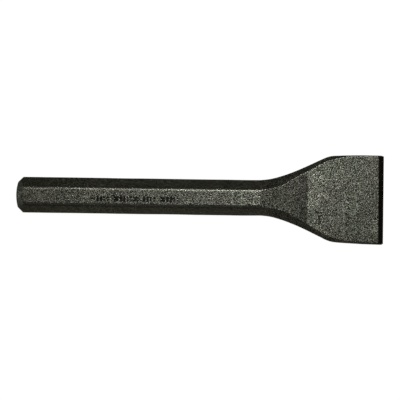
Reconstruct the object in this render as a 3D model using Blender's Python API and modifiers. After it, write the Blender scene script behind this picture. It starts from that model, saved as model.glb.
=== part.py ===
"""Brick bolster chisel: a wide-bladed mason's chisel forged in one piece from hexagonal steel bar.

The tool lies on one flat of its shank. +X runs from the struck end to the cutting edge, +Y runs across the
blade and +Z is square to the blade's broad faces. The origin is on the surface that the tool lies on, under
the middle of its length. Lengths are in metres.

Three half-outlines shape the forging, each a run of straight lines with rounded corners, measured from the
struck end:
    RIDGE    the widest line, at mid-thickness, which is what the tool shows in plan
    FACE     the edge of the flat top and bottom faces
    PROFILE  half the thickness, which is what the tool shows from the side
Between RIDGE and FACE lie the sloping side facets, so every section is a hexagon with rounded corners: the
regular hexagon of the bar along the shank, and a wide, thin one across the blade.
"""

import math

import bmesh
import bpy
import numpy as np
from mathutils import Vector

# Driving dimensions
LENGTH = 0.1825
ACROSS_FLATS = 0.015875        # 5/8 in bar
BLADE_WIDTH = 0.04455          # 1-3/4 in blade
SHANK_FLAT_END = 0.1210        # where the faces leave the bar and start down the neck
NECK_END = 0.1447              # where the neck's slope meets the blade's face
BEVEL_START = 0.1804           # where the ground bevel starts
NECK_END_THICKNESS = 0.0075
BEVEL_THICKNESS = 0.0031       # of the blade, where the bevel starts
EDGE_THICKNESS = 0.0003        # of the cutting edge itself
BAR_CORNER_RADIUS = 0.0015
BLADE_FACE_RADIUS = 0.0005     # rounding along the edges of the blade's faces
BLADE_RIDGE_RADIUS = 0.0007    # rounding along the middle of the blade's sides
ROUNDING_MOST = 0.3            # a rounding is never more than this share of the half-thickness
BLADE_SIDE_SLOPE = 0.0004      # how far the blade's side facets stand out past its faces, at the bevel
EDGE_CORNER_CUT = 0.0006       # taken off the ends of the cutting edge
EDGE_CORNER_LENGTH = 0.0008

# Struck end, turned about the bar's axis: a shallow crown, then a 45 degree chamfer
CROWN_RADIUS = 0.0240          # of the sphere that the crown is part of
CHAMFER_RIM_RADIUS = 0.0060    # where the chamfer meets the crown
CHAMFER_ANGLE = math.radians(45)

# Derived sizes
HALF_THICKNESS = ACROSS_FLATS / 2
BAR_FACE_HALF = HALF_THICKNESS * math.tan(math.radians(30))
BAR_RIDGE_HALF = HALF_THICKNESS / math.cos(math.radians(30))
BLADE_HALF = BLADE_WIDTH / 2

# Each corner is (distance from the struck end, half-size, rounding radius)
RIDGE = (
    (0.0, BAR_RIDGE_HALF, 0.0),
    (0.1248, BAR_RIDGE_HALF, 0.032),
    (0.1371, 0.0129, 0.095),
    (0.1554, 0.02155, 0.0138),
    (LENGTH - EDGE_CORNER_LENGTH, BLADE_HALF, 0.0),
    (LENGTH, BLADE_HALF - EDGE_CORNER_CUT, 0.0),
)
FACE = (
    (0.0, BAR_FACE_HALF, 0.0),
    (0.1276, BAR_FACE_HALF, 0.028),
    (0.1545, 0.0196, 0.025),
    (0.1630, 0.02115, 0.030),
    (BEVEL_START, BLADE_HALF - BLADE_SIDE_SLOPE, 0.0),
    (LENGTH, BLADE_HALF - EDGE_CORNER_CUT - EDGE_THICKNESS / 2, 0.0),
)
PROFILE = (
    (0.0, HALF_THICKNESS, 0.0),
    (SHANK_FLAT_END, HALF_THICKNESS, 0.008),
    (NECK_END, NECK_END_THICKNESS / 2, 0.016),
    (BEVEL_START, BEVEL_THICKNESS / 2, 0.0),
    (LENGTH, EDGE_THICKNESS / 2, 0.0),
)
ROUNDING_STATIONS = (SHANK_FLAT_END, 0.150)   # the roundings change from the bar's to the blade's here

OUTLINE_STEP = math.radians(3.5)              # turn between two points of an outline's corner
SECTION_ARC_STEPS = 4
TURNED_STEPS = 96
CROWN_STEPS = 6
MIN_STATION_GAP = 0.0004
CUTTER_MARGIN = 0.003                         # how far a cutter stands clear of what it cuts


def rounded_corner(before, corner, after, radius, steps):
    """Points of the arc that replaces a corner, from the first tangent point to the second.

    A turn is positive to the right, as Vector.angle_signed gives it.
    """
    into = (corner - before).normalized()
    out = (after - corner).normalized()
    turn = into.angle_signed(out)
    reach = radius * math.tan(abs(turn) / 2)
    side = Vector((-into.y, into.x)) * math.copysign(radius, -turn)
    start = corner - into * reach
    centre = start + side
    points = []
    for step in range(steps + 1):
        angle = -turn * step / steps
        arm = start - centre
        turned = Vector((
            arm.x * math.cos(angle) - arm.y * math.sin(angle),
            arm.x * math.sin(angle) + arm.y * math.cos(angle),
        ))
        points.append(centre + turned)
    return points


def outline(corners):
    """An outline's points, as two arrays: distances from the struck end, and half-sizes."""
    places = [Vector(corner[:2]) for corner in corners]
    points = [places[0]]
    for index in range(1, len(corners) - 1):
        radius = corners[index][2]
        if radius == 0.0:
            points.append(places[index])
            continue
        before, corner, after = places[index - 1:index + 2]
        turn = abs((corner - before).angle_signed(after - corner))
        steps = max(2, math.ceil(turn / OUTLINE_STEP))
        points += rounded_corner(before, corner, after, radius, steps)
    points.append(places[-1])
    return np.array([p.x for p in points]), np.array([p.y for p in points])


def stations(outlines):
    """Where the sections are cut: at each outline point, leaving out points that nearly coincide."""
    kept = []
    fixed = (0.0, BEVEL_START, LENGTH)
    places = sorted(set(float(x) for xs, _ in outlines for x in xs) | set(fixed))
    for place in places:
        crowded = kept and place - kept[-1] < MIN_STATION_GAP
        if crowded and place in fixed:
            kept[-1] = place
        elif not crowded:
            kept.append(place)
    return kept


def section(ridge_half, face_half, half_thickness, ridge_radius, face_radius):
    """One section as (y, z) points about the bar's axis: a hexagon with its corners rounded."""
    corners = (
        (ridge_half, 0.0, ridge_radius),
        (face_half, half_thickness, face_radius),
        (-face_half, half_thickness, face_radius),
        (-ridge_half, 0.0, ridge_radius),
        (-face_half, -half_thickness, face_radius),
        (face_half, -half_thickness, face_radius),
    )
    ring = []
    for index, (y, z, radius) in enumerate(corners):
        before = Vector(corners[index - 1][:2])
        after = Vector(corners[(index + 1) % len(corners)][:2])
        ring += rounded_corner(before, Vector((y, z)), after, radius, SECTION_ARC_STEPS)
    return ring


def loft(name, rings):
    """A closed mesh through rings of points, each ring with the same number of points."""
    bm = bmesh.new()
    rows = [[bm.verts.new(point) for point in ring] for ring in rings]
    for row, following in zip(rows, rows[1:]):
        for index in range(len(row)):
            after = (index + 1) % len(row)
            bm.faces.new((row[index], row[after], following[after], following[index]))
    bm.faces.new(rows[0])
    bm.faces.new(rows[-1])
    bmesh.ops.recalc_face_normals(bm, faces=bm.faces)
    mesh = bpy.data.meshes.new(name)
    bm.to_mesh(mesh)
    bm.free()
    return mesh


def forging_mesh():
    """The forging before its struck end is turned, with sections lofted from end to end."""
    ridge, face, profile = outline(RIDGE), outline(FACE), outline(PROFILE)
    rings = []
    for place in stations((ridge, face, profile)):
        half_thickness = np.interp(place, *profile)
        most = ROUNDING_MOST * half_thickness
        ring = section(
            np.interp(place, *ridge),
            np.interp(place, *face),
            half_thickness,
            min(most, np.interp(place, ROUNDING_STATIONS, (BAR_CORNER_RADIUS, BLADE_RIDGE_RADIUS))),
            min(most, np.interp(place, ROUNDING_STATIONS, (BAR_CORNER_RADIUS, BLADE_FACE_RADIUS))),
        )
        rings.append([(place - LENGTH / 2, p.x, p.y + HALF_THICKNESS) for p in ring])
    return loft("forged_chisel", rings)


def crown_depth(radius):
    """How far the crown has fallen back from its highest point, at a radius from the bar's axis."""
    return CROWN_RADIUS - math.sqrt(CROWN_RADIUS ** 2 - radius ** 2)


def struck_end_cutter(collection):
    """What is turned away at the struck end: everything outside the crown and the chamfer.

    The profile is drawn with the bar's axis upright and the struck end down, then laid along X.
    """
    outer = BAR_RIDGE_HALF + CUTTER_MARGIN
    rim_depth = crown_depth(CHAMFER_RIM_RADIUS)
    chamfer_end = rim_depth + (outer - CHAMFER_RIM_RADIUS) / math.tan(CHAMFER_ANGLE)
    profile = [(outer, chamfer_end), (outer, -CUTTER_MARGIN), (0.0, -CUTTER_MARGIN)]
    for step in range(CROWN_STEPS + 1):
        radius = CHAMFER_RIM_RADIUS * step / CROWN_STEPS
        profile.append((radius, crown_depth(radius)))

    bm = bmesh.new()
    verts = [bm.verts.new((radius, 0.0, height)) for radius, height in profile]
    for start, end in zip(verts, verts[1:] + verts[:1]):
        if start.co.x > 0.0 or end.co.x > 0.0:
            bm.edges.new((start, end))
    mesh = bpy.data.meshes.new("struck_end_cutter")
    bm.to_mesh(mesh)
    bm.free()
    cutter = bpy.data.objects.new("struck_end_cutter", mesh)
    collection.objects.link(cutter)
    screw = cutter.modifiers.new("turned", "SCREW")
    screw.steps = TURNED_STEPS
    screw.render_steps = TURNED_STEPS
    screw.use_merge_vertices = True
    screw.merge_threshold = 0.00005
    cutter.rotation_euler = (0.0, math.radians(90), 0.0)
    cutter.location = (-LENGTH / 2, 0.0, HALF_THICKNESS)
    cutter.hide_render = True
    cutter.display_type = "WIRE"
    return cutter


def oxide_steel():
    """Black oxide over forged, shot-blasted steel."""
    material = bpy.data.materials.new("black_oxide_steel")
    material.use_nodes = True
    shader = material.node_tree.nodes["Principled BSDF"]
    shader.inputs["Base Color"].default_value = (0.085, 0.088, 0.075, 1.0)
    shader.inputs["Metallic"].default_value = 0.85
    shader.inputs["Roughness"].default_value = 0.5
    return material


def forged_chisel(collection, cutters):
    """The whole tool: the lofted forging with its struck end turned."""
    mesh = forging_mesh()
    mesh.materials.append(oxide_steel())
    chisel = bpy.data.objects.new("forged_chisel", mesh)
    collection.objects.link(chisel)
    turning = chisel.modifiers.new("struck_end", "BOOLEAN")
    turning.operation = "DIFFERENCE"
    turning.solver = "EXACT"
    turning.object = struck_end_cutter(cutters)
    mesh.shade_smooth()
    mesh.set_sharp_from_angle(angle=math.radians(25))
    return chisel


def main():
    for leftover in list(bpy.data.objects):
        bpy.data.objects.remove(leftover)
    chisel = bpy.data.collections.new("brick_bolster_chisel")
    cutters = bpy.data.collections.new("cutters")
    for collection in (chisel, cutters):
        bpy.context.scene.collection.children.link(collection)
    forged_chisel(chisel, cutters)


main()
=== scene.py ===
"""Looks of the brick bolster chisel: one finely modelled steel forging in place of the plain CAD solid.

The tool lies on one flat of its shank, as in the frame: the struck end at -X, the cutting edge at +X and the
broad faces square to Z. Its surface is a grid of rings along X. Each ring is a hexagon with rounded corners,
between three half-outlines that run from the struck end to the cutting edge:
    RIDGE    the widest line, at mid-thickness
    FACE     the edges of the flat upper and lower faces
    PROFILE  half the thickness
At the struck end the rings are held inside a turned crown and chamfer. The stamp marks and scratches are
grooves in the mesh, which is finer around them, and their grooves are painted near black as painted shade.
"""

import math

import bmesh
import bpy
import numpy as np
from mathutils import Euler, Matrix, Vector, noise


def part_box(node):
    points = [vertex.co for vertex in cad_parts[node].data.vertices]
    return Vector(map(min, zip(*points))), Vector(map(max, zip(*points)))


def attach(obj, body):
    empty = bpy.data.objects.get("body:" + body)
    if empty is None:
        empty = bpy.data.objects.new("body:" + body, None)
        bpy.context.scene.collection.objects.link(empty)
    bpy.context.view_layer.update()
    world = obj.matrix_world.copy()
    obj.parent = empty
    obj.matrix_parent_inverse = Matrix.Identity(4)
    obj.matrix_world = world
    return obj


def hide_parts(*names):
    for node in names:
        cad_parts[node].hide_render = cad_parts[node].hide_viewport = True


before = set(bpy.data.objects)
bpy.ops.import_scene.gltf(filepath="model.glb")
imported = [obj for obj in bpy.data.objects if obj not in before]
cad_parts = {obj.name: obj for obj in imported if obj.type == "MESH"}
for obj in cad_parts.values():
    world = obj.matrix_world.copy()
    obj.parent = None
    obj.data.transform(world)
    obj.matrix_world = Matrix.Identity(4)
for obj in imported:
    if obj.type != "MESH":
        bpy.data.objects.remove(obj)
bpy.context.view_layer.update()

# Driving dimensions, from the frame
LOW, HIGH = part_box("forged_chisel")
LENGTH = HIGH.x - LOW.x
BLADE_HALF = (HIGH.y - LOW.y) / 2
HALF_THICKNESS = (HIGH.z - LOW.z) / 2
CENTRE = (LOW + HIGH) / 2
MM = LENGTH / 182.5                  # a millimetre of the tool
BAR_FACE_HALF = HALF_THICKNESS * math.tan(math.radians(30))
BAR_RIDGE_HALF = HALF_THICKNESS / math.cos(math.radians(30))

# Places along the tool, from its struck end
SHANK_FLAT_END = 121.0 * MM          # the faces leave the bar and start down the neck
NECK_END = 144.7 * MM                # the neck's slope meets the blade's face
BEVEL_START = 180.05 * MM
NECK_END_HALF = 3.75 * MM            # half-thicknesses
BEVEL_HALF = 1.55 * MM
EDGE_HALF = 0.15 * MM

# Half-outlines: (distance from the struck end, half-size, rounding radius) for each corner
RIDGE = (
    (0.0, BAR_RIDGE_HALF, 0.0),
    (124.8 * MM, BAR_RIDGE_HALF, 32.0 * MM),
    (137.4 * MM, 12.85 * MM, 95.0 * MM),
    (155.8 * MM, 21.55 * MM, 13.8 * MM),
    (172.0 * MM, 22.15 * MM, 90.0 * MM),
    (LENGTH - 0.8 * MM, BLADE_HALF, 0.5 * MM),
    (LENGTH, BLADE_HALF - 0.6 * MM, 0.0),
)
FACE = (
    (0.0, BAR_FACE_HALF, 0.0),
    (129.2 * MM, BAR_FACE_HALF, 26.0 * MM),
    (155.0 * MM, 19.05 * MM, 22.0 * MM),
    (164.0 * MM, 21.2 * MM, 30.0 * MM),
    (BEVEL_START, BLADE_HALF - 0.4 * MM, 0.0),
    (LENGTH, BLADE_HALF - 0.8 * MM, 0.0),
)
PROFILE = (
    (0.0, HALF_THICKNESS, 0.0),
    (SHANK_FLAT_END, HALF_THICKNESS, 1.5 * MM),
    (NECK_END, NECK_END_HALF, 2.0 * MM),
    (151.5 * MM, 3.51 * MM, 220.0 * MM),
    (166.0 * MM, 2.575 * MM, 600.0 * MM),
    (BEVEL_START, BEVEL_HALF, 0.15 * MM),
    (LENGTH, EDGE_HALF, 0.0),
)

# Rounding of the long edges: the bar's, the neck's where the dies meet it, and the blade's
ROUNDING_STATIONS = (SHANK_FLAT_END, 124.0 * MM, 143.0 * MM, 147.0 * MM)
FACE_ROUNDING = (2.4 * MM, 0.4 * MM, 0.4 * MM, 0.5 * MM)
RIDGE_ROUNDING = (1.9 * MM, 1.6 * MM, 0.7 * MM, 0.7 * MM)
ROUNDING_MOST = 0.3                  # a rounding is never more than this share of the half-thickness

# Forging is never quite even: from the neck on, each face is shifted sideways, as where two dies don't meet,
# and the whole blade strays from the bar's axis
UNEVEN_STATIONS = (112.0 * MM, 126.0 * MM, 140.0 * MM, 152.0 * MM, 160.0 * MM, LENGTH)
FACE_SHIFT = (0.0, 0.0, 0.5 * MM, 0.2 * MM, 0.35 * MM, 0.35 * MM)
STRAY = (0.0, 0.15 * MM, 0.25 * MM, 0.25 * MM, 0.0, -0.25 * MM)
SKEW_STATIONS = (150.0 * MM, BEVEL_START, LENGTH)
SKEW = (0.0, -0.019, -0.005)         # the bevel isn't ground quite square to the axis

# The blade's broad faces are slightly crowned across: they fall away from the axis on this radius
BLADE_CROWN_RADIUS = 600.0 * MM
BLADE_CROWN_STATIONS = (136.0 * MM, 147.0 * MM, BEVEL_START, LENGTH)
BLADE_CROWN = (0.0, 1.0, 1.0, 0.0)   # how much of the crown there is

# Struck end, turned about the bar's axis
CROWN_RADIUS = 24.0 * MM
RIM_RADIUS = 6.2 * MM                # where the chamfer meets the crown
RIM_ROUNDING = 1.8 * MM
CHAMFER_BLEND = 0.12 * MM            # softness of the line where the chamfer meets the flats

# Grid
OUTLINE_STEPS = 24                   # points in each rounded corner of an outline
STATION_STEP = 0.55 * MM
FINE_STEP = 0.12 * MM
FINE_REACH = 0.7 * MM                # rings are this fine around each change of slope
SMALLEST_STEP = 0.6 * FINE_STEP
TURNED_STEP = 0.16 * MM              # rings along the chamfer
TURNED_CENTRE = 0.5 * MM             # radius of the first ring, which is capped
CROWN_STEP = 0.4 * MM                # rings along the crown
CHAMFER_MARGIN = 1.5 * MM            # how far the chamfer runs on, past the bar's corners
ARC_STEPS = 6                        # an even number, so that each rounding has a middle point
SIDE_STEPS = 8
FACE_STEPS = 54
SHARP_ANGLE = math.radians(28)       # edges turn sharp past this
MARKED_EDGE = 0.16 * MM              # longest edge around the marks
MARKED_PASSES = 3
MARKED_NORMAL = 0.9                  # marks are only where the surface faces up at least this much


def rounded_corner(before, corner, after, radius, steps):
    """Points of the arcs that replace corners: (steps + 1, ..., 2) for corners of shape (..., 2)."""
    into = corner - before
    into = into / np.linalg.norm(into, axis=-1, keepdims=True)
    out = after - corner
    out = out / np.linalg.norm(out, axis=-1, keepdims=True)
    cross = into[..., 0] * out[..., 1] - into[..., 1] * out[..., 0]
    turn = np.arctan2(cross, (into * out).sum(-1))
    start = corner - into * (radius * np.tan(np.abs(turn) / 2))[..., None]
    arm = np.stack((into[..., 1], -into[..., 0]), axis=-1) * (radius * np.sign(turn))[..., None]
    centre = start - arm
    points = []
    for step in range(steps + 1):
        angle = turn * step / steps
        turned = np.stack((
            arm[..., 0] * np.cos(angle) - arm[..., 1] * np.sin(angle),
            arm[..., 0] * np.sin(angle) + arm[..., 1] * np.cos(angle),
        ), axis=-1)
        points.append(centre + turned)
    return np.array(points)


def outline(corners):
    """An outline as two arrays: distances from the struck end, and half-sizes."""
    places = np.array([corner[:2] for corner in corners])
    points = [places[:1]]
    for index in range(1, len(corners) - 1):
        before, corner, after = places[index - 1:index + 2]
        points.append(rounded_corner(before, corner, after, corners[index][2], OUTLINE_STEPS))
    points.append(places[-1:])
    return np.concatenate(points).T


def turned_end():
    """The crown and chamfer as (distance from the struck end, radius), from near the axis outwards."""
    rim_depth = CROWN_RADIUS - math.sqrt(CROWN_RADIUS ** 2 - RIM_RADIUS ** 2)
    reach = BAR_RIDGE_HALF + CHAMFER_MARGIN - RIM_RADIUS
    rim = np.array((rim_depth, RIM_RADIUS))
    crown = []
    for radius in np.arange(TURNED_CENTRE, RIM_RADIUS - RIM_ROUNDING, CROWN_STEP):
        crown.append((CROWN_RADIUS - math.sqrt(CROWN_RADIUS ** 2 - radius ** 2), radius))
    crown = np.array(crown)
    chamfer_steps = math.ceil(reach / TURNED_STEP)
    chamfer = rim + np.outer(np.arange(2, chamfer_steps + 1) / chamfer_steps * reach, (1.0, 1.0))
    fillet = rounded_corner(crown[-1], rim, chamfer[0], np.array(RIM_ROUNDING), 4)
    return np.concatenate((crown, fillet, chamfer))


def stations(start):
    """Where the rings stand, from start to the cutting edge: finer around each change of slope."""
    places = [np.arange(start, LENGTH, STATION_STEP), [BEVEL_START, LENGTH]]
    for change in (SHANK_FLAT_END, NECK_END, BEVEL_START):
        places.append(np.arange(change - FINE_REACH, change + FINE_REACH, FINE_STEP))
    places.append(np.arange(BEVEL_START, LENGTH, FINE_STEP))
    kept = [start]
    for place in np.unique(np.concatenate(places)):
        if place - kept[-1] > SMALLEST_STEP and place <= LENGTH:
            kept.append(place)
    kept[-1] = LENGTH
    return np.array(kept)


def sections(places):
    """Rounded hexagons at these places, as y and z from the bar's axis: (ring, point, 2)."""
    ridge = np.interp(places, *outline(RIDGE))
    face = np.interp(places, *outline(FACE))
    half = np.interp(places, *outline(PROFILE))
    most = ROUNDING_MOST * half
    ridge_radius = np.minimum(most, np.interp(places, ROUNDING_STATIONS, RIDGE_ROUNDING))
    face_radius = np.minimum(most, np.interp(places, ROUNDING_STATIONS, FACE_ROUNDING))
    zero = np.zeros_like(half)
    corners = [
        (np.stack(corner, axis=-1), radius)
        for corner, radius in (
            ((ridge, zero), ridge_radius),
            ((face, half), face_radius),
            ((-face, half), face_radius),
            ((-ridge, zero), ridge_radius),
            ((-face, -half), face_radius),
            ((face, -half), face_radius),
        )
    ]
    arcs = []
    for index, (corner, radius) in enumerate(corners):
        before = corners[index - 1][0]
        after = corners[(index + 1) % 6][0]
        arcs.append(rounded_corner(before, corner, after, radius, ARC_STEPS))
    ring = []
    for index, arc in enumerate(arcs):
        ring += list(arc)
        steps = FACE_STEPS if index in (1, 4) else SIDE_STEPS
        following = arcs[(index + 1) % 6][0]
        for step in range(1, steps):
            ring.append(arc[-1] + (following - arc[-1]) * step / steps)
    return np.stack(ring, axis=1)


def edge_wear():
    """How worn each point of a ring is: most in the middle of each rounding."""
    wear = []
    for index in range(6):
        wear += [math.sin(math.pi * step / ARC_STEPS) for step in range(ARC_STEPS + 1)]
        steps = FACE_STEPS if index in (1, 4) else SIDE_STEPS
        wear += [0.0] * (steps - 1)
    return wear


def forging_grid():
    """The whole surface as rings of points in the frame, from the struck end to the cutting edge."""
    turned = turned_end()
    plain = stations(turned[-1, 0] + FINE_STEP)
    places = np.concatenate((turned[:, 0], plain))
    rings = sections(places)
    reach = np.linalg.norm(rings, axis=-1)
    limit = np.concatenate((turned[:, 1], np.full(len(plain), BLADE_HALF * 2)))[:, None]
    nearest = np.minimum(reach, limit)
    blended = nearest - CHAMFER_BLEND * np.log1p(np.exp(-np.abs(reach - limit) / CHAMFER_BLEND))
    rings *= (np.where(limit > BLADE_HALF, reach, blended) / reach)[..., None]
    half = np.interp(places, *outline(PROFILE))[:, None]
    crown = np.interp(places, BLADE_CROWN_STATIONS, BLADE_CROWN)[:, None]
    rings[..., 1] *= 1.0 - crown * rings[..., 0] ** 2 / (2 * BLADE_CROWN_RADIUS) / half
    face_shift = np.interp(places, UNEVEN_STATIONS, FACE_SHIFT)[:, None]
    stray = np.interp(places, UNEVEN_STATIONS, STRAY)[:, None]
    rings[..., 0] += stray + face_shift * rings[..., 1] / half
    grid = np.empty(rings.shape[:2] + (3,))
    skew = np.interp(places, SKEW_STATIONS, SKEW)[:, None]
    grid[..., 0] = LOW.x + places[:, None] + skew * rings[..., 0]
    grid[..., 1:] = rings + (CENTRE.y, CENTRE.z)
    return grid


# Marks in the upper face, as strokes (start, end) in x and y, each a groove of one width and depth
STAMP_START = 41.4 * MM              # of the stamped row, from the struck end
STAMP_PITCH = 3.25 * MM
STAMP_GAP = 1.8 * MM                 # between two groups, beyond the pitch
STAMP_GROUPS = (2, 4, 2, 3)          # marks in each group
STAMP_TOP = -0.1 * MM
STAMP_HEIGHT = 1.9 * MM
STAMP_ACROSS = 0.85 * MM             # half the width of a mark
STAMP_UP = 0.35                      # dots and dashes stand this share of the height from the middle
STAMP_WIDTH = 1.0 * MM
STAMP_DEPTH = 0.20 * MM
SCRATCH_WIDTH = 0.50 * MM
SCRATCH_DEPTH = 0.07 * MM
# painted shade in a scratch's groove, as a share of the painted shade in a stamp mark's groove
SCRATCH_SHADE_SHARE = 0.8               # against a stamped mark's
GROOVE_WALL = 0.11 * MM              # how far a groove takes to reach its depth
SCRATCHES = (                        # runs of points, from the struck end and from the bar's axis
    ((148.6, -5.9), (149.4, -6.9), (149.5, -6.2), (150.3, -7.2), (150.4, -6.5)),
    ((150.9, -8.3), (150.5, -9.4), (150.8, -10.4), (151.4, -11.3)),
    ((164.8, 0.9), (166.3, 0.2)),
    ((177.4, -9.8), (179.1, -9.9)),
    ((157.0, 6.9), (158.9, 6.1)),
)


def stamped_marks():
    """A row of plain bars, dashes and dots, in groups."""
    strokes = []
    middle = STAMP_TOP - STAMP_HEIGHT / 2
    x = LOW.x + STAMP_START
    kinds = ("bars", "dots", "dashes")
    made = 0
    for group in STAMP_GROUPS:
        for _ in range(group):
            kind = kinds[made % len(kinds)]
            made += 1
            if kind == "bars":
                for side in (-STAMP_ACROSS, STAMP_ACROSS):
                    strokes.append(((x + side, STAMP_TOP), (x + side, STAMP_TOP - STAMP_HEIGHT)))
            elif kind == "dots":
                for side in (-STAMP_ACROSS, STAMP_ACROSS):
                    for up in (-STAMP_UP, STAMP_UP):
                        dot = (x + side, middle + up * STAMP_HEIGHT)
                        strokes.append((dot, dot))
            else:
                for up in (-STAMP_UP, STAMP_UP):
                    y = middle + up * STAMP_HEIGHT
                    strokes.append(((x - STAMP_ACROSS, y), (x + STAMP_ACROSS, y)))
            x += STAMP_PITCH
        x += STAMP_GAP
    return strokes


def scratch_marks():
    """Each scratch as its strokes."""
    strokes = []
    for run in SCRATCHES:
        points = [(LOW.x + x * MM, y * MM) for x, y in run]
        strokes += list(zip(points, points[1:]))
    return strokes


def nearness(points, strokes):
    """Distance in x and y from each point to the nearest stroke."""
    nearest = np.full(len(points), np.inf)
    for start, end in strokes:
        start, along = np.array(start), np.subtract(end, start)
        share = (points - start) @ along / max(along @ along, 1e-12)
        gap = points - start - np.outer(np.clip(share, 0.0, 1.0), along)
        nearest = np.minimum(nearest, np.linalg.norm(gap, axis=1))
    return nearest


def refine(bm, strokes):
    """Splits the long edges of the upper face around the strokes."""
    for _ in range(MARKED_PASSES):
        edges = [e for e in bm.edges if min(v.co.z for v in e.verts) > CENTRE.z + BEVEL_HALF / 2]
        middles = np.array([(e.verts[0].co.xy + e.verts[1].co.xy) / 2 for e in edges])
        near = nearness(middles, strokes) < STATION_STEP + STAMP_WIDTH / 2
        split = [e for e, close in zip(edges, near) if close and e.calc_length() > MARKED_EDGE]
        bmesh.ops.subdivide_edges(bm, edges=split, cuts=1, use_grid_fill=True)


def cap(bm, row):
    """Closes a ring with strips from its upper half to its lower half."""
    count = len(row)
    first = ARC_STEPS // 2
    for index in range(first, first + count // 2):
        corners = [index, index + 1, ARC_STEPS - index - 1, ARC_STEPS - index]
        verts = list(dict.fromkeys(row[corner % count] for corner in corners))
        bm.faces.new(verts)


def grooves(points, strokes, width, depth):
    """How deep the strokes are at each point."""
    share = np.clip((width / 2 - nearness(points, strokes)) / GROOVE_WALL, 0.0, 1.0)
    return depth * share * share * (3.0 - 2.0 * share)


# Relief of the forged and blasted surface: (depth, size of its waves, place in the noise), in millimetres
RELIEF = (
    (0.06, 13.0, (0.0, 0.0, 0.0)),
    (0.012, 4.5, (7.0, 3.0, 1.0)),
    (0.004, 1.7, (1.0, 9.0, 4.0)),
)


def forging_relief(point):
    """How far the forged and blasted surface lies below its true shape at a point."""
    depth = sum(most * noise.noise(point / (size * MM) + Vector(place)) for most, size, place in RELIEF)
    return depth * MM


def forging_mesh():
    """The forging's mesh, with what the material needs to know in its attributes."""
    grid = forging_grid()
    bm = bmesh.new()
    worn = bm.verts.layers.float.new("worn")
    wear = edge_wear()
    rows = [[bm.verts.new(point) for point in ring] for ring in grid]
    for row in rows:
        for v, share in zip(row, wear):
            v[worn] = share
    for row, following in zip(rows, rows[1:]):
        for index in range(len(row)):
            after = (index + 1) % len(row)
            bm.faces.new((row[index], row[after], following[after], following[index]))
    cap(bm, rows[0])
    cap(bm, rows[-1])
    bmesh.ops.recalc_face_normals(bm, faces=bm.faces)

    stamps, scratches = stamped_marks(), scratch_marks()
    refine(bm, stamps + scratches)
    bm.normal_update()
    # how much painted shade each point takes in the grooves of the marks and scratches
    groove_shade = bm.verts.layers.float.new("groove_shade")
    plan = np.array([v.co.xy for v in bm.verts])
    stamp_depths = grooves(plan, stamps, STAMP_WIDTH, STAMP_DEPTH)
    scratch_depths = grooves(plan, scratches, SCRATCH_WIDTH, SCRATCH_DEPTH)
    for v, stamp, scratch in zip(bm.verts, stamp_depths, scratch_depths):
        unground = min(1.0, max(0.0, (LOW.x + BEVEL_START - v.co.x) / MM))
        sink = unground * forging_relief(v.co)
        if v.normal.z > MARKED_NORMAL:
            sink += stamp + scratch
            v[groove_shade] = max(stamp / STAMP_DEPTH, SCRATCH_SHADE_SHARE * scratch / SCRATCH_DEPTH)
        v.co -= v.normal * sink

    mesh = bpy.data.meshes.new("bolster_forging")
    bm.to_mesh(mesh)
    bm.free()
    mesh.shade_smooth()
    mesh.set_sharp_from_angle(angle=SHARP_ANGLE)
    return mesh


class Shader:
    """A few short ways to add nodes to a material or a world, whose main node is its surface."""

    def __init__(self, owner, surface="Principled BSDF"):
        owner.use_nodes = True
        self.tree = owner.node_tree
        self.surface = self.tree.nodes[surface]

    def plug(self, socket, value):
        if isinstance(value, bpy.types.NodeSocket):
            self.tree.links.new(value, socket)
        else:
            socket.default_value = value

    def add(self, kind, inputs, output=0, **settings):
        """A node with its inputs given by name or place, and settings. Gives one of its outputs."""
        made = self.tree.nodes.new("ShaderNode" + kind)
        for name, value in settings.items():
            setattr(made, name, value)
        for key, value in inputs.items():
            self.plug(made.inputs[key], value)
        return made.outputs[output]

    def math(self, operation, first, second=0.0, third=0.0):
        return self.add("Math", {0: first, 1: second, 2: third}, operation=operation)

    def fit(self, value, low, high, to_low=0.0, to_high=1.0):
        inputs = {"Value": value, "From Min": low, "From Max": high, "To Min": to_low, "To Max": to_high}
        return self.add("MapRange", inputs, clamp=True)

    def mix(self, factor, first, second, blend="MIX"):
        inputs = {0: factor, 6: first, 7: second}
        return self.add("Mix", inputs, output=2, data_type="RGBA", blend_type=blend)

    def noise(self, where, scale, detail):
        inputs = {"Vector": where, "Scale": scale, "Detail": detail}
        return self.add("TexNoise", inputs)

    def bump(self, height, distance, normal=None):
        inputs = {"Height": height, "Distance": distance, "Strength": 1.0}
        if normal is not None:
            inputs["Normal"] = normal
        return self.add("Bump", inputs)


# Material: colours of the oxide and of its painted shade, then the size of each pattern in cells to a
# millimetre
PIT_COLOUR = (0.005, 0.005, 0.003, 1.0)
GRAIN_COLOUR = (0.450, 0.458, 0.390, 1.0)
TINTS = ((0.95, 1.0, 0.93, 1.0), (1.03, 0.98, 0.98, 1.0))
WORN_COLOUR = (0.11, 0.11, 0.097, 1.0)
# Painted shade: the colour darkens towards the struck end, for the light that falls off towards that end
END_SHADE_COLOUR = (0.05, 0.047, 0.034, 1.0)
# Painted shade: the grooves of the marks and scratches are painted near black, for the shade inside them
GROOVE_SHADE_COLOUR = (0.006, 0.006, 0.005, 1.0)
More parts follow.
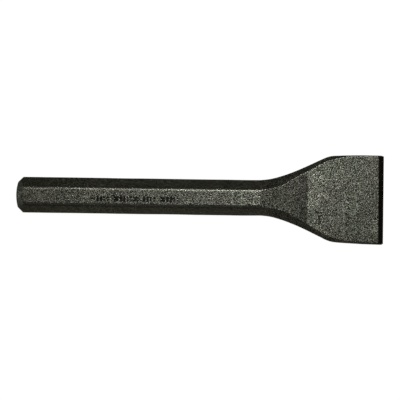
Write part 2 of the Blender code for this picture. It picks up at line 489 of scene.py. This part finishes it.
# Painted shade: the bevel is painted near black, for a face turned away from the lights; the heel's brown is
# its temper tint
BEVEL_COLOURS = ((0.020, 0.011, 0.003, 1.0), (0.008, 0.007, 0.005, 1.0))   # its heel, then the rest
GRAIN_SCALE = 2.6
PIT_SCALE = 3.0
MOTTLE_SCALE = 0.11
TINT_SCALE = 0.07
GRINDING_SCALE = (0.15, 7.0, 7.0)    # long along the tool, fine across it
SPECKLE_RANGE = (0.39, 0.61)         # of the grain's noise, from pit to grain
GRAIN_PART = 0.65                    # the speckle is this much grain and the rest pits
PIT_PART = 0.35
SPECKLE_POWER = 3.0
MOTTLE = (0.86, 1.12)                # darkest and brightest patches
WORN_SHARE = 0.55
END_SHADE_SHARE = 0.5
GROOVE_SHADE_SHARE = 0.97
BEVEL_SHARE = 0.9
ROUGHNESS = (0.30, 0.24)             # in the pits and on the grain
BEVEL_SMOOTHER = 0.08
# the painted shade at the struck end fades out over this reach
END_SHADE_REACH = 34.0                  # millimetres over which the struck end's darker colour fades out
BEVEL_HEEL = 0.9                     # millimetres
BLASTED_HEIGHT = 0.017 * MM
GRINDING_HEIGHT = 0.02 * MM
METALLIC = 0.82


def oxide_steel():
    """Black oxide on blasted, forged steel: a speckled olive grey, with a smoother ground bevel, and painted
    shade on the bevel, in the grooves and at the struck end.
    """
    material = bpy.data.materials.new("black_oxide_steel")
    shader = Shader(material)
    place = shader.add("TexCoord", {}, output=3)
    where = shader.add("VectorMath", {0: place, 3: 1.0 / MM}, operation="SCALE")
    along = shader.add("SeparateXYZ", {0: where})
    # where the grooves of the marks and scratches take painted shade
    groove_shade = shader.add("Attribute", {}, output=2, attribute_name="groove_shade")
    worn = shader.add("Attribute", {}, output=2, attribute_name="worn")

    grain = shader.noise(where, GRAIN_SCALE, detail=0.0)
    cells = shader.add("TexVoronoi", {"Vector": where, "Scale": PIT_SCALE}, output=1)
    pits = shader.add("SeparateColor", {0: cells})
    mottle = shader.noise(where, MOTTLE_SCALE, detail=3.0)
    tint = shader.noise(where, TINT_SCALE, detail=1.0)

    edge = LENGTH / 2 / MM
    bevel = BEVEL_START / MM - edge
    ground = shader.fit(along, bevel - 0.1, bevel + 0.1)
    # painted shade: full at the struck end, fading out along the shank
    end_shade = shader.fit(along, -edge + END_SHADE_REACH, -edge)

    speckle = shader.math("MULTIPLY_ADD", pits, PIT_PART, shader.fit(grain, *SPECKLE_RANGE, 0.0, GRAIN_PART))
    speckle = shader.math("POWER", speckle, SPECKLE_POWER)
    colour = shader.mix(speckle, PIT_COLOUR, GRAIN_COLOUR)
    warm = shader.mix(shader.fit(tint, 0.35, 0.65), *TINTS)
    colour = shader.mix(1.0, colour, warm, blend="MULTIPLY")
    patch = shader.fit(mottle, 0.3, 0.7, *MOTTLE)
    colour = shader.mix(1.0, colour, patch, blend="MULTIPLY")
    colour = shader.mix(shader.math("MULTIPLY", worn, WORN_SHARE), colour, WORN_COLOUR)
    # the struck end darkened: painted shade
    colour = shader.mix(shader.math("MULTIPLY", end_shade, END_SHADE_SHARE), colour, END_SHADE_COLOUR)
    # painted shade: the grooves of the marks and scratches turn near black
    colour = shader.mix(shader.math("MULTIPLY", groove_shade, GROOVE_SHADE_SHARE), colour, GROOVE_SHADE_COLOUR)
    # the bevel: painted shade, with the temper tint at its heel
    bevel_tint_and_shade = shader.mix(shader.fit(along, bevel, bevel + BEVEL_HEEL), *BEVEL_COLOURS)
    colour = shader.mix(shader.math("MULTIPLY", ground, BEVEL_SHARE), colour, bevel_tint_and_shade)
    shader.plug(shader.surface.inputs["Base Color"], colour)

    roughness = shader.fit(grain, 0.3, 0.7, *ROUGHNESS)
    roughness = shader.math("SUBTRACT", roughness, shader.math("MULTIPLY", ground, BEVEL_SMOOTHER))
    shader.plug(shader.surface.inputs["Roughness"], roughness)
    shader.surface.inputs["Metallic"].default_value = METALLIC

    lines = shader.add("Mapping", {"Vector": where, "Scale": GRINDING_SCALE})
    grinding = shader.noise(lines, 1.0, detail=3.0)
    unground = shader.math("SUBTRACT", 1.0, ground)
    blasted = shader.math("MULTIPLY", shader.math("ADD", grain, pits), unground)
    normal = shader.bump(blasted, BLASTED_HEIGHT)
    normal = shader.bump(shader.math("MULTIPLY", grinding, ground), GRINDING_HEIGHT, normal)
    shader.plug(shader.surface.inputs["Normal"], normal)
    return material


def forging():
    """The tool's one piece, in place of its CAD solid."""
    mesh = forging_mesh()
    mesh.materials.append(oxide_steel())
    piece = bpy.data.objects.new("bolster_forging", mesh)
    bpy.context.scene.collection.objects.link(piece)
    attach(piece, "root")
    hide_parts("forged_chisel")


# Studio
SWEEP_RADIUS = 4.0                   # of the flat floor
SWEEP_CURVE = 1.5                    # radius of its curve up into the wall
SWEEP_HEIGHT = 4.0
SWEEP_STEPS = 12                     # in its curve
SWEEP_SIDES = 64
SWEEP_GAP = 0.1 * MM                 # between the floor and the tool
SWEEP_GLOW = 0.98


def sweep():
    """A round floor that curves up into a wall, plain white, seen by the camera alone."""
    profile = [(0.0, 0.0)]
    for step in range(SWEEP_STEPS + 1):
        angle = math.radians(90) * step / SWEEP_STEPS
        profile.append((SWEEP_RADIUS + SWEEP_CURVE * math.sin(angle), SWEEP_CURVE * (1 - math.cos(angle))))
    profile.append((SWEEP_RADIUS + SWEEP_CURVE, SWEEP_HEIGHT))
    bm = bmesh.new()
    verts = [bm.verts.new((radius, 0.0, height)) for radius, height in profile]
    for start, end in zip(verts, verts[1:]):
        bm.edges.new((start, end))
    mesh = bpy.data.meshes.new("studio_floor")
    bm.to_mesh(mesh)
    bm.free()
    floor = bpy.data.objects.new("studio_floor", mesh)
    bpy.context.scene.collection.objects.link(floor)
    screw = floor.modifiers.new("turned", "SCREW")
    screw.steps = SWEEP_SIDES
    screw.render_steps = SWEEP_SIDES
    screw.use_merge_vertices = True
    screw.merge_threshold = 0.0001
    floor.location.z = LOW.z - SWEEP_GAP
    floor.visible_glossy = False
    floor.visible_diffuse = False

    material = bpy.data.materials.new("pale_floor")
    shader = Shader(material)
    shader.surface.inputs["Base Color"].default_value = (0.1, 0.1, 0.1, 1.0)
    shader.surface.inputs["Roughness"].default_value = 0.9
    shader.surface.inputs["Specular IOR Level"].default_value = 0.0
    shader.surface.inputs["Emission Color"].default_value = (1.0, 1.0, 1.0, 1.0)
    shader.surface.inputs["Emission Strength"].default_value = SWEEP_GLOW
    mesh.materials.append(material)


# Lights: (name, place from the frame's origin, size, power), lengths in millimetres of the tool
SOFTBOXES = (
    ("overhead", (110, 200, 900), 700, 1.2),
    ("key", (76, 5, 450), 40, 0.053),
    ("side", (122, 430, 850), 200, 2.4),
    ("end", (-1300, 0, 200), 600, 0.9),
)
CORNER_POWERS = (1.4, 1.4, 1.9, 1.9)    # four more around the tool, the first two on the +Y side
CORNER_RADIUS = 1360 * MM
CORNER_HEIGHT = 640 * MM
CORNER_SIZE = 900 * MM


def softbox(name, place, size, power):
    """A square area light that faces the tool."""
    light = bpy.data.lights.new(name, "AREA")
    light.size = size
    light.energy = power
    lamp = bpy.data.objects.new(name, light)
    lamp.location = place
    lamp.rotation_euler = (CENTRE - Vector(place)).to_track_quat("-Z", "Y").to_euler()
    lamp.visible_camera = False
    bpy.context.scene.collection.objects.link(lamp)


def lights():
    """The soft lights above, beside and around the tool."""
    for name, place, size, power in SOFTBOXES:
        softbox(name, [distance * MM for distance in place], size * MM, power)
    for corner, power in enumerate(CORNER_POWERS):
        turn = math.radians(45 + 90 * corner)
        place = (CORNER_RADIUS * math.cos(turn), CORNER_RADIUS * math.sin(turn), CORNER_HEIGHT)
        softbox(f"corner_{corner}", place, CORNER_SIZE, power)


# Colours of the world, which the steel mirrors
FLOOR_NEAR = (0.130, 0.126, 0.100, 1.0)   # below, on the -Y side
FLOOR_FAR = (0.085, 0.084, 0.070, 1.0)    # below, on the +Y side
HORIZON = (0.025, 0.025, 0.020, 1.0)
ABOVE = (0.105, 0.105, 0.088, 1.0)
ZENITH = (0.070, 0.070, 0.058, 1.0)
BEHIND = (0.300, 0.330, 0.330, 1.0)       # beyond the struck end

# Where each colour takes over from the one before, along the direction's Y, Z or X
FLOOR_TURN = (-0.8, 0.8)
HORIZON_RISE = (-0.3, -0.02)
BEHIND_TURN = (-0.5, -0.85)
ABOVE_RISE = (0.2, 0.6)
ZENITH_RISE = (0.9, 0.985)


def surroundings():
    """The dim room that the steel mirrors: pale below, dark around the horizon, grey above."""
    world = bpy.data.worlds.new("dim_room")
    shader = Shader(world, "Background")
    direction = shader.add("TexCoord", {}, output=0)
    along = shader.add("SeparateXYZ", {0: direction})
    across = shader.add("SeparateXYZ", {0: direction}, output=1)
    height = shader.add("SeparateXYZ", {0: direction}, output=2)
    floor = shader.mix(shader.fit(across, *FLOOR_TURN), FLOOR_NEAR, FLOOR_FAR)
    colour = shader.mix(shader.fit(height, *HORIZON_RISE), floor, HORIZON)
    colour = shader.mix(shader.fit(along, *BEHIND_TURN), colour, BEHIND)
    colour = shader.mix(shader.fit(height, *ABOVE_RISE), colour, ABOVE)
    colour = shader.mix(shader.fit(height, *ZENITH_RISE), colour, ZENITH)
    shader.plug(shader.surface.inputs["Color"], colour)
    bpy.context.scene.world = world


# Camera: looks down on the tool, a little from the +Y side, so that it runs slightly downhill to the right
VIEW_WIDTH = 198.8 * MM
LENS = 500.0
SENSOR = 36.0
FARTHEST = 20.0                      # that the camera sees
VIEW_TILT = math.radians(2.8)
VIEW_ROLL = math.radians(0.83)
VIEW_RIGHT = 0.08 * MM               # where the middle of the picture lies from the middle of the tool
VIEW_DROP = 1.42 * MM


def camera():
    """The camera, far off with a long lens, so that there is hardly any perspective."""
    data = bpy.data.cameras.new("camera")
    data.sensor_width = SENSOR
    data.lens = LENS
    data.clip_end = FARTHEST
    viewer = bpy.data.objects.new("camera", data)
    turn = Euler((-VIEW_TILT, 0.0, VIEW_ROLL)).to_matrix()
    target = CENTRE + turn @ Vector((VIEW_RIGHT, -VIEW_DROP, 0.0))
    viewer.location = target + turn @ Vector((0.0, 0.0, VIEW_WIDTH * LENS / SENSOR))
    viewer.rotation_euler = turn.to_euler()
    bpy.context.scene.collection.objects.link(viewer)
    bpy.context.scene.camera = viewer


camera()
forging()
sweep()
surroundings()
lights()
bpy.context.scene.view_settings.view_transform = "Standard"
